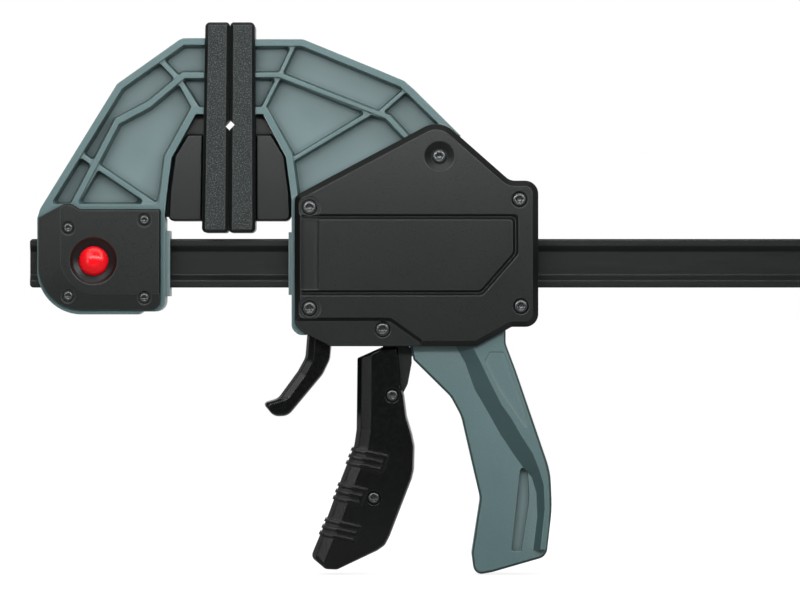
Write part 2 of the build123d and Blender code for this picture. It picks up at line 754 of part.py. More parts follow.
def cover():
    """The front cover: a bevelled plate with a grooved panel, an apron and screw seats."""
    body = prism(cover_outline, -cover_face, -half_hub)
    body = chamfer(body.faces().sort_by(Axis.Y)[0].edges(), cover_bevel)
    body -= tapered(apron, -cover_face, pivot_seat - cover_face, ledge)
    outer = moved_in(panel, [-groove_width / 2] * len(panel))
    inner = moved_in(panel, [groove_width / 2] * len(panel))
    groove = tapered(outer, -cover_face, groove_depth - cover_face, groove_lean)
    groove -= tapered(inner, -cover_face, groove_depth - cover_face, -groove_lean)
    body -= groove & block((cover_left + 3, hub_right), (-cover_face - 1, 0), (below(9), above(20)))
    scoop = Cylinder(scoop_radius, scoop_high - scoop_low)
    scoop_y = scoop_depth - scoop_radius - cover_face
    body -= Pos(scoop_x, scoop_y, (scoop_low + scoop_high) / 2) * scoop
    for x, z in cover_screws[1:]:
        body -= rod_y(x, z, -cover_face - 1, -cover_face + screw_seat, screw_hole)
    for x, z in (cover_screws[1], cover_screws[3]):
        body -= rod_y(x, z, -cover_face - 1, -cover_face + screw_dish, screw_hole + 1.4)
    x, z = cover_screws[0]
    body -= cone_y(x, z, -cover_face - 0.01, -cover_face + 1.8, 6.8, screw_hole)
    body -= rod_y(x, z, -cover_face - 1, -cover_face + screw_seat + 1, screw_hole)
    body -= rod_y(pivot_x, pivot_z, -cover_face - 1, -cover_face + pivot_seat + 1, screw_hole)
    for x, z in cover_screws + [(pivot_x, pivot_z)]:
        body -= rod_y(x, z, -cover_face - 1, 0, screw_radius + run_gap)
    return body


front_cover = cover()
save("front_cover", front_cover)
save("rear_cover", mirror(front_cover, about=Plane.XZ))
screws = []
for x, z in cover_screws:
    seat = screw_seat + (1.0 if (x, z) == cover_screws[0] else 0)
    one = screw(screw_radius, screw_head, screw_head_height, cover_screw_length)
    screws += on_both_sides(Pos(x, -cover_face + seat, z) * one)
save("cover_screws", screws)

# ---- Trigger pivot: a threaded sleeve between the covers, and a screw in each end ----------
pivot_screw_length = 9.0
sleeve = rod_y(pivot_x, pivot_z, -half_hub + seat_gap, half_hub - seat_gap, pivot_radius)
pivot_screw_end = cover_face - pivot_seat - 1 - pivot_screw_length
for ends in ((-half_hub, -pivot_screw_end + 0.5), (pivot_screw_end - 0.5, half_hub)):
    sleeve -= rod_y(pivot_x, pivot_z, *ends, screw_radius + run_gap)
save("trigger_pivot_sleeve", sleeve)
one = screw(screw_radius, screw_head, screw_head_height, pivot_screw_length)
one = Pos(pivot_x, -cover_face + pivot_seat + 1, pivot_z) * one
save("trigger_pivot_screws", on_both_sides(one))

# ---- Trigger: a core that turns on the sleeve, between two grip shells --------------------
shell_front_cut = 6.5  # the wide sloping face along the front edge
shell_cut = 0.9
shell_drop = 4.5  # how much of the half width the sloping faces take
shell_front = [
    (36.6, below(121.4), 3),
    (44.3, below(102.8), 6),
    (50.5, below(85.7), 6),
    (56.2, below(71.0), 6),
    (57.2, below(64.0), 6),
    (57.3, below(57.8), 6),
]
shell_rear = [
    (57.6, below(31.8), 1),
    (68.7, below(26.9), 1),
    (75.9, below(26.7), 1),
    (77.1, below(38.0), 6),
    (77.3, below(43.5), 4),
    (78.8, below(48.4), 4),
    (80.0, below(58.0), 8),
    (82.4, below(66.0), 8),
    (83.5, below(71.5), 8),
    (83.2, below(82.0), 8),
    (82.2, below(86.3), 6),
    (72.2, below(112.0), 6),
    (70.0, below(116.2), 4),
    (66.6, below(118.6), 4),
    (48.4, below(127.2), 3),
    (43.2, below(127.0), 3),
]
shell_corners = shell_front + shell_rear
shell_cuts = [shell_front_cut] * len(shell_front) + [shell_cut] * len(shell_rear)
shell_outline = outline(*shell_corners)
core_half = trigger_core / 2
head_radius = pivot_radius + 3.3
wing = outline(
    (pivot_x, pivot_z),
    (pivot_x + head_radius - 0.8, pivot_z),
    (pivot_x + 7.0, below(26.2), 1),
    (82.1, below(27.0), 2),
    (82.1, below(34.0), 2),
    (80.3, below(43.5), 4),
    (76.0, below(52.0)),
    (61.5, below(52.0)),
    (61.5, below(33.0)),
    (pivot_x, below(28.6)),
)
wing_half = half_bay - free_gap
core = prism(wing + disc(pivot_x, pivot_z, head_radius), -wing_half, wing_half)
tongue = offset(shell_outline, -5, kind=Kind.INTERSECTION) & outline(
    (20, below(45)), (100, below(45)), (100, below(112)), (20, below(112))
)
core += prism(tongue, -core_half, core_half)
tail_half = plate_tail / 2
tail_bottom = below(31.0)
nose_radius = 2.0
nose_x = drive_x - 0.3 - nose_radius
fork = outline(
    (nose_x + 0.3, below(25.6)),
    (95, below(25.6)),
    (95, below(41.5)),
    (drive_x + 5.8, below(41.5)),
    (nose_x + 0.3, below(35.5)),
)
fork -= disc(nose_x, below(29.2), nose_radius)
core -= prism(fork, -tail_half - free_gap, tail_half + free_gap)
core -= rod_y(pivot_x, pivot_z, -half_hub, half_hub, pivot_radius + run_gap)
trigger_screws = [(73.3, below(48.6)), (65.0, below(94.8))]
for x, z in trigger_screws:
    core -= rod_y(x, z, -half_hub, half_hub, screw_radius + run_gap)
save("trigger_core", core)

# Finger ribs wrap round the front edge of both shells in three groups of three.
rib_groups = [(71.2, 76.3, 19.0), (61.7, 91.4, 15.0), (59.1, 108.1, 18.5)]
rib_pitch = 3.0
rib_slant = 12.0
rib_height = 0.7
rib_width = 1.4
half_trigger = trigger_width / 2


def grip_ribs():
    grown = crowned(shell_corners, shell_cuts, half_trigger, shell_drop, rib_height)
    ribs = Part()
    for end_x, end_depth, run in rib_groups:
        for n in range(3):
            stripe = Pos(-run / 2, 0) * SlotOverall(run, rib_width)
            stripe = Pos(end_x - n, below(end_depth + n * rib_pitch)) * Rot(0, 0, -rib_slant) * stripe
            ribs += grown & prism(stripe, -half_trigger - 2, half_trigger + 2)
        ends = [(end_x - rib_width / 2 - n, below(end_depth + n * rib_pitch)) for n in (0, 2)]
        ribs += grown & prism(band(ends, rib_width), -half_trigger - 2, half_trigger + 2)
    return ribs


shells = crowned(shell_corners, shell_cuts, half_trigger, shell_drop) + grip_ribs()
room = offset(tongue, seat_gap)
shells -= prism(room, -core_half - seat_gap, core_half + seat_gap)
shells -= prism(offset(wing, seat_gap), -wing_half - seat_gap, wing_half + seat_gap)
trigger_seat = 1.5
for x, z in trigger_screws:
    shells -= rod_y(x, z, -half_trigger - 2, -half_trigger + trigger_seat, screw_head)
    shells -= rod_y(x, z, -half_trigger, half_trigger - 3, screw_radius + run_gap)
parting = seat_gap / 2
save("trigger_front_shell", shells & block((0, 120), (-40, -parting), (below(200), 0)))
save("trigger_rear_shell", shells & block((0, 120), (parting, 40), (below(200), 0)))
grip_screw_length = trigger_width - trigger_seat - 3.5
grip_screws = []
for x, z in trigger_screws:
    one = screw(screw_radius, screw_head * 0.85, screw_head_height * 0.85, grip_screw_length)
    grip_screws.append(Pos(x, -half_trigger + trigger_seat, z) * one)
save("trigger_screws", grip_screws)

# ---- Drive plates and drive spring --------------------------------------------------------
plate_half = half_bay - free_gap
spring_drop = 6.5  # springs' axis below the bar


def drive_plate_at(x):
    """A jamming plate: a window for the bar, and a narrow tail that the trigger pushes."""
    corners = [(plate_half, drive_top), (plate_half, below(11.0)), (tail_half, below(15.0))]
    corners += [(tail_half, tail_bottom)]
    side = corners + [(-y, z) for y, z in reversed(corners)]
    face = make_face(FilletPolyline(*side, radius=[2, 1, 1, 1, 1, 1, 1, 2], close=True))
    body = extrude(Plane.YZ.offset(x) * face, amount=drive_plate, dir=(1, 0, 0))
    return body - block(
        (x - 1, x + drive_plate + 1),
        (-half_bar - slide_gap, half_bar + slide_gap),
        (below(slide_gap), above(slide_gap)),
    )


for n in range(3):
    save(f"drive_plate_{n + 1}", drive_plate_at(drive_x + n * (drive_plate + drive_gap)))
spring_start = drive_x + drive_stack + 0.1
spring_z = below(spring_drop)
drive_spring = coil(3.6, 0.55, wall_right - spring_start - 0.1, 9)
save("drive_spring", Pos(spring_start, 0, spring_z) * Rot(0, 90, 0) * drive_spring)

# ---- Release lever: the brake plate, its moulded finger lever and its spring ---------------
brake_pivot_z = above(8.0)
brake_length = 68.0
lean = Pos(brake_x, 0, brake_pivot_z) * Rot(0, brake_tilt, 0)
brake_window = (bar_height + brake_plate * sin(radians(brake_tilt))) / cos(radians(brake_tilt))
window_mid = brake_pivot_z / cos(radians(brake_tilt))
brake = block((-brake_plate / 2, brake_plate / 2), (-plate_half, plate_half), (-brake_length, 1.4))
brake -= block(
    (-brake_plate, brake_plate),
    (-half_bar - slide_gap, half_bar + slide_gap),
    (-window_mid - brake_window / 2 - slide_gap, -window_mid + brake_window / 2 + slide_gap),
)
for side in (-1, 1):
    ends = sorted((side * 6.5, side * (plate_half + 1)))
    brake -= block((-brake_plate, brake_plate), ends, (-brake_length - 1, -brake_length + 16))
brake = lean * brake
save("brake_plate", brake)
lever_front = [
    (14.8, below(52.0), 1.4),
    (21.8, below(49.9), 6),
    (30.7, below(37.7), 5),
    (34.1, below(31.5), 8),
]
lever_rear = [
    (35.0, below(20.4), 1),
    (45.0, below(20.4), 1),
    (45.9, below(26.0), 4),
    (45.2, below(32.5), 8),
    (42.0, below(39.2), 8),
    (26.4, below(57.9), 6),
    (19.8, below(58.2), 5),
]
lever_hook_cut = 1.6
lever_front_cut = 4.0
lever_cut = 0.8
lever_drop = 3.2
lever_cuts = [lever_hook_cut] + [lever_front_cut] * 3 + [lever_cut] * (len(lever_rear) - 1)
lever_cuts.append(lever_cut / 2)
lever = crowned(lever_front + lever_rear, lever_cuts, lever_width / 2, lever_drop)
lever -= brake
save("release_lever", lever)
lean_x = spring_drop + bar_height + 8.0  # spring's axis below the lever's pivot
brake_face = brake_x - lean_x * sin(radians(brake_tilt)) + brake_plate / 2
brake_spring_start = brake_face + 0.8
brake_spring = coil(3.4, 0.45, seat_x[0] - brake_spring_start - 0.1, 6)
save("brake_spring", Pos(brake_spring_start, 0, spring_z) * Rot(0, 90, 0) * brake_spring)
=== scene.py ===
from math import cos, pi, radians, sin

import bmesh
import bpy
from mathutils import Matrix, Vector


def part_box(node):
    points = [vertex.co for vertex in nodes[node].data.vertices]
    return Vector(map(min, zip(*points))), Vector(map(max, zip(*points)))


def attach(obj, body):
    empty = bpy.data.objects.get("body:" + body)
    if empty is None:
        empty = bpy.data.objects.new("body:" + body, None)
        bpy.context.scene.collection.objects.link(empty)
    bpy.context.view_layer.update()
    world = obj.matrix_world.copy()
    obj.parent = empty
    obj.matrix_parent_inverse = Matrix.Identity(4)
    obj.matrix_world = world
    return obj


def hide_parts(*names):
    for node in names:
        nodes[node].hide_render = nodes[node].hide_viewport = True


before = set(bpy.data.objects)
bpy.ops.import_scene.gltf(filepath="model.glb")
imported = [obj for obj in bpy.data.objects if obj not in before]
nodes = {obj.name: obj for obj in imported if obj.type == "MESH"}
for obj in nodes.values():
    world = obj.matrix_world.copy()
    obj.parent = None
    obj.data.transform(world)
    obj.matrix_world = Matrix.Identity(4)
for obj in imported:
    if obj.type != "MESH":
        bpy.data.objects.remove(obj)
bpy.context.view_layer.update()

# ---- Bar -----------------------------------------------------------------------------------
# The jaws ride on a rolled steel I bar. It is blackened in a hot oxide bath after rolling, so
# it is dark and half dull, with fine lines along its length and brighter metal where it rubs.
MM = 0.001
bar_black = "#2b2e2d"
bar_rubbed = "#6b706e"
# near black, painted as shade into the steel's hollows
hollow_shade_black = "#040505"
bar_line_spacing = 0.6 * MM  # real roll lines are finer; drawn as coarse as they need to show


def linear(code):
    """The linear colour of an sRGB hex value, with full alpha."""
    shares = [int(code[n:n + 2], 16) / 255 for n in (1, 3, 5)]
    return (*[s / 12.92 if s <= 0.04045 else ((s + 0.055) / 1.055) ** 2.4 for s in shares], 1.0)


def add(tree, kind, inputs=(), **settings):
    """Add a node with its settings. An input is a value, a hex colour, or what it links to.

    Sockets go by name, or by number where a node repeats a name. In Map Range, 0 is the value,
    1 and 2 are the range it comes from, and 3 and 4 the range it goes to. In Mix, 0 is the
    share, 2 and 3 are two values, and 6 and 7 two colours.
    """
    made = tree.nodes.new(kind)
    for name, value in settings.items():
        setattr(made, name, value)
    for name, value in dict(inputs).items():
        if isinstance(value, bpy.types.Node):
            value = next(socket for socket in value.outputs if socket.enabled)
        if isinstance(value, bpy.types.NodeSocket):
            tree.links.new(value, made.inputs[name])
        else:
            is_colour = isinstance(value, str) and value.startswith("#")
            made.inputs[name].default_value = linear(value) if is_colour else value
    return made


def new_material(name):
    """An empty node material: the material, and its tree."""
    material = bpy.data.materials.new(name)
    material.use_nodes = True
    material.node_tree.nodes.clear()
    return material, material.node_tree


def rounded(tree, radius):
    """Rounded edges for the shading: the bent normal, and how far it is bent, from 0 to 1."""
    flat_match, bent_match = 0.995, 0.87  # of the bent normal with the flat one, at 0 and at 1
    bent = add(tree, "ShaderNodeBevel", {"Radius": radius}, samples=6)
    flat = add(tree, "ShaderNodeNewGeometry").outputs["Normal"]
    match = add(tree, "ShaderNodeVectorMath", {0: bent, 1: flat}, operation="DOT_PRODUCT")
    return bent, add(tree, "ShaderNodeMapRange", {
        0: match.outputs["Value"], 1: flat_match, 2: bent_match})


def dress(material, *names):
    """Give the CAD nodes of these names one material."""
    for name in names:
        nodes[name].data.materials.clear()
        nodes[name].data.materials.append(material)


def steel(name, dark, rubbed, spacing, edge, roughness, metallic=0.9):
    """Steel with fine lines along X, a line's spacing apart, and patches rubbed on its edges."""
    line_stretch = 50  # how many times as long as its spacing a line is
    line_depth, line_strength = 0.02 * MM, 0.25
    line_low, line_high = 0.3, 0.7  # the noise of the smoothest and of the roughest lines
    patch_scale = 60.0  # rubbed patches in a metre
    hollow_shade_reach = 1.0 * MM  # how far from what shades it a hollow gets painted shade
    open_share, shut_share = 0.75, 0.35  # of the sky that open metal and full painted shade see
    spread = 0.06  # of the roughness, to either side
    material, tree = new_material(name)
    place = add(tree, "ShaderNodeTexCoord").outputs["Object"]
    run = add(tree, "ShaderNodeMapping", {
        0: place, "Scale": (1 / (line_stretch * spacing), 1 / spacing, 1 / spacing)})
    lines = add(tree, "ShaderNodeTexNoise", {0: run, "Scale": 1.0, "Detail": 3.0, "Roughness": 0.6})
    patches = add(tree, "ShaderNodeTexNoise", {0: place, "Scale": patch_scale, "Detail": 4.0})
    bent, edges = rounded(tree, edge)
    rubs = add(tree, "ShaderNodeMath", {0: edges, 1: patches}, operation="MULTIPLY")
    # Painted shade: hollows such as the sockets and the bar's inner corners darken towards near
    # black.
    sky = add(tree, "ShaderNodeAmbientOcclusion", {"Distance": hollow_shade_reach}, samples=6,
              only_local=True)
    hollow_shade = add(tree, "ShaderNodeMapRange", {0: sky.outputs["AO"], 1: open_share, 2: shut_share})
    colour = add(tree, "ShaderNodeMix", {0: rubs, 6: dark, 7: rubbed}, data_type="RGBA")
    colour = add(tree, "ShaderNodeMix", {0: hollow_shade, 6: colour, 7: hollow_shade_black}, data_type="RGBA")
    rough = add(tree, "ShaderNodeMapRange", {
        0: lines, 1: line_low, 2: line_high, 3: roughness - spread, 4: roughness + spread})
    bump = add(tree, "ShaderNodeBump", {
        "Height": lines, "Normal": bent, "Strength": line_strength, "Distance": line_depth})
    shader = add(tree, "ShaderNodeBsdfPrincipled", {
        "Base Color": colour, "Roughness": rough, "Normal": bump, "Metallic": metallic})
    add(tree, "ShaderNodeOutputMaterial", {"Surface": shader})
    return material


blackened = steel("steel_rolled_blackened", bar_black, bar_rubbed, bar_line_spacing,
                  edge=0.5 * MM, roughness=0.36, metallic=0.6)
dress(blackened, "bar")

# ---- Arms, hubs and handle -----------------------------------------------------------------
# Both jaws are injection moulded in glass filled nylon, slate grey, dulled by the glass and by a
# lightly spark eroded mould. Their round edges get a painted highlight, their walls and recesses
# painted shade, also where the covers shadow them, and the floors of wide pockets painted light.
# The lock pin holds the fixed jaw on the bar. The moving jaw has the handle and slides.
slate = "#587274"
slate_deep = "#546e70"
# pale specks, and the painted highlight on round edges
slate_specks_and_highlight = "#8c9b96"
# painted shade for walls, corners and recesses
slate_wall_shade = "#3a5052"
# painted light: the paler floors of wide pockets
slate_floor_light = "#6f8486"
skin_grain = 0.45 * MM  # the real grain is about 0.1 mm; drawn coarser so that it shows


def moulded(name, colours, grain, depth, roughness, edge, edge_highlight=0.5, specks=0.15,
            wall_roughness=0.35, recess_share=0.8, alone=True):
    """Moulded plastic with an eroded grain, in colours for body, clouds, specks and edges, walls
    and floors.

    The walls that the mould slides along are smoother. They and the corners and recesses take the
    fourth colour, a painted shade. The floors of wide pockets take the fifth, a paler painted
    light.
    Round edges take the third, a painted highlight, which the grain's pale specks share. A piece
    that is not alone also gets painted shade beside its neighbours, where they shadow it.
    """
    recess_reach = 3.0 * MM  # how far from what shades it a corner or recess gets painted shade
    pocket_reach = 16 * MM  # how far off a pocket's walls may be for its floor to count as one
    recess_roughness = 0.65
    open_share, shut_share = 0.95, 0.45  # of the sky that an open face and a recess see
    rim_share, floor_share = 0.99, 0.90  # the same for a wide pocket's rim and its floor
    face_turn, wall_turn = 0.985, 0.93  # how squarely along Y a face and a wall look
    cloud_scale = 35.0  # clouds in a metre
    cloud_low, cloud_high = 0.35, 0.65  # the noise where clouds begin, and where they are full
    speck_low, speck_high = 0.5, 0.75  # the same for pale specks, on the grain's crests
    pit_low, pit_high = 0.3, 0.7  # the noise where the grain is smoothest, and roughest
    spread = 0.05  # of the roughness, to either side
    # The third colour is for specks and the painted edge highlight, the fourth is painted shade,
    # the fifth painted light on pocket floors.
    body, cloudy, pale, walls, floors = colours
    material, tree = new_material(name)
    place = add(tree, "ShaderNodeTexCoord").outputs
    clouds = add(tree, "ShaderNodeTexNoise", {
        0: place["Object"], "Scale": cloud_scale, "Detail": 4.0, "Roughness": 0.55})
    pits = add(tree, "ShaderNodeTexNoise", {
        0: place["Object"], "Scale": 1 / grain, "Detail": 2.0, "Roughness": 0.6})
    across = add(tree, "ShaderNodeSeparateXYZ", {0: place["Normal"]}).outputs["Y"]
    facing = add(tree, "ShaderNodeMath", {0: across}, operation="ABSOLUTE")
    steep = add(tree, "ShaderNodeMapRange", {0: facing, 1: face_turn, 2: wall_turn})
    # Painted shade: walls, corners and recesses darken, and also beside neighbours unless alone.
    sky = add(tree, "ShaderNodeAmbientOcclusion", {"Distance": recess_reach}, samples=6,
              only_local=alone)
    recess_shade = add(tree, "ShaderNodeMapRange", {
        0: sky.outputs["AO"], 1: open_share, 2: shut_share, 4: recess_share})
    wall = add(tree, "ShaderNodeMath", {0: steep, 1: recess_shade}, operation="MAXIMUM")
    # Painted light: the floors of wide pockets turn paler.
    around = add(tree, "ShaderNodeAmbientOcclusion", {"Distance": pocket_reach}, samples=6,
                 only_local=True)
    pocket = add(tree, "ShaderNodeMapRange", {
        0: around.outputs["AO"], 1: rim_share, 2: floor_share})
    bent, edges = rounded(tree, edge)
    cloud_share = add(tree, "ShaderNodeMapRange", {0: clouds, 1: cloud_low, 2: cloud_high})
    speck_share = add(tree, "ShaderNodeMapRange", {
        0: pits, 1: speck_low, 2: speck_high, 4: specks})
    # Painted highlight on round edges.
    highlight_share = add(tree, "ShaderNodeMath", {0: edges, 1: edge_highlight}, operation="MULTIPLY")
    colour = add(tree, "ShaderNodeMix", {0: cloud_share, 6: body, 7: cloudy}, data_type="RGBA")
    layers = ((pocket, floors), (speck_share, pale), (wall, walls), (highlight_share, pale))
    for share, other in layers:
        colour = add(tree, "ShaderNodeMix", {0: share, 6: colour, 7: other}, data_type="RGBA")
    rough = add(tree, "ShaderNodeMapRange", {
        0: pits, 1: pit_low, 2: pit_high, 3: roughness - spread, 4: roughness + spread})
    rough = add(tree, "ShaderNodeMix", {0: steep, 2: rough, 3: wall_roughness})
    rough = add(tree, "ShaderNodeMix", {0: recess_shade, 2: rough, 3: recess_roughness})
    bump = add(tree, "ShaderNodeBump", {
        "Height": pits, "Normal": bent, "Strength": 1.0, "Distance": depth})
    shader = add(tree, "ShaderNodeBsdfPrincipled", {
        "Base Color": colour, "Roughness": rough, "Normal": bump, "IOR": 1.5})
    add(tree, "ShaderNodeOutputMaterial", {"Surface": shader})
    return material


nylon_colours = (slate, slate_deep, slate_specks_and_highlight, slate_wall_shade, slate_floor_light)
# Not alone: the painted shade also falls where the covers, plates and pads shadow the jaws.
nylon = moulded("nylon_glass_filled_moulded", nylon_colours, skin_grain, depth=0.01 * MM,
                roughness=0.5, edge=0.7 * MM, recess_share=0.5, alone=False)
dress(nylon, "fixed_jaw_body", "moving_jaw_body")

# ---- Covers, cheek plates and carriers -----------------------------------------------------
# Black nylon shells, satin on their faces and smooth round their bevels, which are darkened
# with painted shade. Screws hold them on the hubs. The covers hide the drive and carry the
# trigger's pivot.
# The pale colour is for specks and a painted highlight on round edges; the near black one is
# painted shade on the bevels and in recesses.
cover_colours = ("#1b201f", "#191d1c", "#666f6d", "#060707", "#1b201f")
satin = moulded("nylon_black_satin", cover_colours, grain=0.4 * MM, depth=0.002 * MM,
                roughness=0.32, edge=0.6 * MM, edge_highlight=0.35, specks=0.04)
dress(satin, "front_cover", "rear_cover", "fixed_front_plate", "fixed_rear_plate",
      "fixed_pad_carrier", "moving_pad_carrier", "trigger_core")

# ---- Pads ----------------------------------------------------------------------------------
# Soft elastomer faces, coarse from a deeply spark eroded mould, with pale dusty specks. Their
# tongues are pushed into the arms and the carriers.
# The pale colour is for the dusty specks and a painted highlight on round edges; the near black one
# is painted shade on walls and in recesses.
pad_colours = ("#1c2222", "#181d1d", "#6b7573", "#0c0f0f", "#1c2222")
rubber = moulded("elastomer_spark_eroded", pad_colours, grain=0.55 * MM, depth=0.15 * MM,
                 roughness=0.75, edge=0.8 * MM, edge_highlight=0.4, specks=0.8)
dress(rubber, "fixed_pad", "moving_pad")

# ---- Trigger shells and release lever ------------------------------------------------------
# Polished black nylon: a nearly mirror smooth mould skin that shows clear highlights. Screws
# clamp the shells on the trigger's core, and the lever is moulded on its brake plate.
# The third colour is a painted highlight on the round edges.
gloss_colours = ("#0a0c0c", "#090a0a", "#1d201f", "#0a0c0c", "#0a0c0c")
polished = moulded("nylon_black_polished", gloss_colours, grain=1.5 * MM, depth=0.001 * MM,
                   roughness=0.18, edge=0.8 * MM, edge_highlight=0.3, specks=0.05, wall_roughness=0.18)
dress(polished, "trigger_front_shell", "trigger_rear_shell", "release_lever")

# ---- Screws and pins -----------------------------------------------------------------------
# Thread forming screws for plastic, in black oxide, with a domed head and a six lobed socket.
# The heads' rims are rubbed bright where the tool and the box of parts have touched them. The
# turned pins of the bar and of the button have the same finish.
oxide = steel("steel_turned_black_oxide", "#5f6263", "#b4b7b7", spacing=0.3 * MM, edge=0.2 * MM,
              roughness=0.3)
dress(oxide, "bar_stop_pin", "lock_pin")
round_steps = 72
lobes = 6
thread_pitch = 1.0 * MM
thread_steps = 8  # rings of points in one pitch
thread_depth = 0.2  # of the screw's radius
point_length, point_share = 1.5 * thread_pitch, 0.25  # the taper, and how blunt it ends


def screw_source(head, head_height, radius, length):
    """One screw along +Y, its head's seat on the origin: rings of points joined in a skin."""
    socket, socket_depth = head * 0.42, head_height * 0.75
    rings = [  # radius, how deep its six lobes are, and y
        (0.0, 0.0, socket_depth * 1.25 - head_height),
        (socket * 0.6, 0.0, socket_depth * 1.05 - head_height),
        (socket * 0.92, 0.16, socket_depth - head_height),
        (socket, 0.16, head_height * 0.12 - head_height),
        (socket * 1.12, 0.08, head_height * 0.02 - head_height),
        (head * 0.62, 0.0, -head_height),
        (head * 0.80, 0.0, -head_height * 0.93),
        (head * 0.92, 0.0, -head_height * 0.74),
        (head * 0.99, 0.0, -head_height * 0.42),
        (head, 0.0, -head_height * 0.15),
        (head * 0.98, 0.0, 0.0),
        (radius * 0.82, 0.0, 0.0),
    ]
    mesh = bmesh.new()
    skins = []
    for ring_radius, lobe, y in rings:
        ring = []
        for step in range(round_steps):
            turn = 2 * pi * step / round_steps
            reach = ring_radius * (1 + lobe * cos(lobes * turn))
            ring.append(mesh.verts.new((reach * cos(turn), y, reach * sin(turn))))
        skins.append(ring)
    rises = int(length / thread_pitch * thread_steps)
    for rise in range(1, rises + 1):
        y = length * rise / rises
        taper = min(1.0, (length - y) / point_length + point_share)
        ring = []
        for step in range(round_steps):
            turn = 2 * pi * step / round_steps
            phase = (y / thread_pitch + step / round_steps) % 1
            crest = max(0.0, 1 - abs(phase - 0.5) * 4)
            reach = radius * (1 - thread_depth + thread_depth * crest) * taper
            ring.append(mesh.verts.new((reach * cos(turn), y, reach * sin(turn))))
        skins.append(ring)
    for one, other in zip(skins, skins[1:]):
        for step in range(round_steps):
            after = (step + 1) % round_steps
            mesh.faces.new((one[step], one[after], other[after], other[step]))
    mesh.faces.new(list(reversed(skins[0])))
    mesh.faces.new(skins[-1])
    bmesh.ops.remove_doubles(mesh, verts=mesh.verts, dist=0.001 * MM)
    bmesh.ops.recalc_face_normals(mesh, faces=mesh.faces)
    data = bpy.data.meshes.new("screw_source")
    mesh.to_mesh(data)
    mesh.free()
    data.shade_smooth()
    return bpy.data.objects.new("screw_source", data)


def repeated(name, source, places, material):
    """Put the source at each place, (x, y, z, turn round Z), by Geometry Nodes: one plain mesh."""
    points = bpy.data.meshes.new(name + "_places")
    points.from_pydata([place[:3] for place in places], [], [])
    turns = points.attributes.new("turn", "FLOAT", "POINT")
    turns.data.foreach_set("value", [place[3] for place in places])
    holder = bpy.data.objects.new(name + "_holder", points)
    bpy.context.scene.collection.objects.link(holder)
    tree = bpy.data.node_groups.new(name + "_repeat", "GeometryNodeTree")
    tree.interface.new_socket("Geometry", in_out="INPUT", socket_type="NodeSocketGeometry")
    size = tree.interface.new_socket("Size", in_out="INPUT", socket_type="NodeSocketFloat")
    thing = tree.interface.new_socket("Thing", in_out="INPUT", socket_type="NodeSocketObject")
    tree.interface.new_socket("Geometry", in_out="OUTPUT", socket_type="NodeSocketGeometry")
    given = add(tree, "NodeGroupInput").outputs
    turn = add(tree, "GeometryNodeInputNamedAttribute", {"Name": "turn"}, data_type="FLOAT")
    turned = add(tree, "ShaderNodeCombineXYZ", {"Z": turn})
    copy = add(tree, "GeometryNodeObjectInfo", {"Object": given["Thing"]}).outputs["Geometry"]
    placed = add(tree, "GeometryNodeInstanceOnPoints", {
        "Points": given["Geometry"], "Instance": copy, "Rotation": turned, "Scale": given["Size"]})
    real = add(tree, "GeometryNodeRealizeInstances", {"Geometry": placed})
    coloured = add(tree, "GeometryNodeSetMaterial", {"Geometry": real, "Material": material})
    add(tree, "NodeGroupOutput", {0: coloured})
    modifier = holder.modifiers.new("repeat", "NODES")
    modifier.node_group = tree
    modifier[size.identifier] = 1.0
    modifier[thing.identifier] = source
    seen = holder.evaluated_get(bpy.context.evaluated_depsgraph_get())
    piece = bpy.data.objects.new(name, bpy.data.meshes.new_from_object(seen))
    bpy.context.scene.collection.objects.link(piece)
    bpy.data.objects.remove(holder)
    bpy.data.objects.remove(source)
    return piece


def screws(name, node, body, sizes, places, both_sides=True):
    """Screws in front, each at (x, z, seat) in mm, and their likes at the rear: for one node.

    The sizes are the head's radius and height and the thread's radius and length, in mm. The
    seat is how far in front of the clamp's middle plane the head rests.
    """
    front = [(x * MM, -seat * MM, z * MM, 0.0) for x, z, seat in places]
    rear = [(x, -y, z, pi) for x, y, z, turn in front] if both_sides else []
    piece = repeated(name, screw_source(*[size * MM for size in sizes]), front + rear, oxide)
    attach(piece, body)
    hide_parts(node)


screws("cover_fixing_screws", "cover_screws", "moving_jaw", (3.2, 1.5, 1.75, 8.0), [
    (94.5, 48.0, 16.9), (36.1, 25.0, 17.9), (130.5, 28.6, 17.9),
    (36.1, -20.4, 17.9), (131.2, -19.4, 17.9)])
screws("pivot_fixing_screws", "trigger_pivot_screws", "moving_jaw", (3.2, 1.5, 1.75, 9.0), [
    (69.0, -29.8, 16.3)])
screws("plate_fixing_screws", "fixed_plate_screws", "fixed_jaw", (2.3, 1.275, 1.5, 9.0), [
    (-72.5, 15.8, 15.6), (-38.2, 19.4, 15.6), (-72.5, -14.8, 15.6), (-38.2, -15.6, 15.6)])
screws("grip_fixing_screws", "trigger_screws", "trigger", (2.72, 1.275, 1.75, 20.0), [
    (73.3, -59.6, 11.0), (65.0, -105.8, 11.0)], both_sides=False)

# ---- Drive and brake plates, springs, sleeve -----------------------------------------------
# Stamped, hardened plates and drawn wire, bare steel with a light film of grease. Plates and
# springs sit loose in the hubs, and the screws of the pivot hold the sleeve.
plain_steel = steel("steel_stamped_bare", "#84888a", "#b9bcbd", spacing=0.3 * MM, edge=0.2 * MM,
                    roughness=0.34)
dress(plain_steel, "drive_plate_1", "drive_plate_2", "drive_plate_3", "brake_plate",
      "drive_spring", "brake_spring", "lock_spring", "trigger_pivot_sleeve")

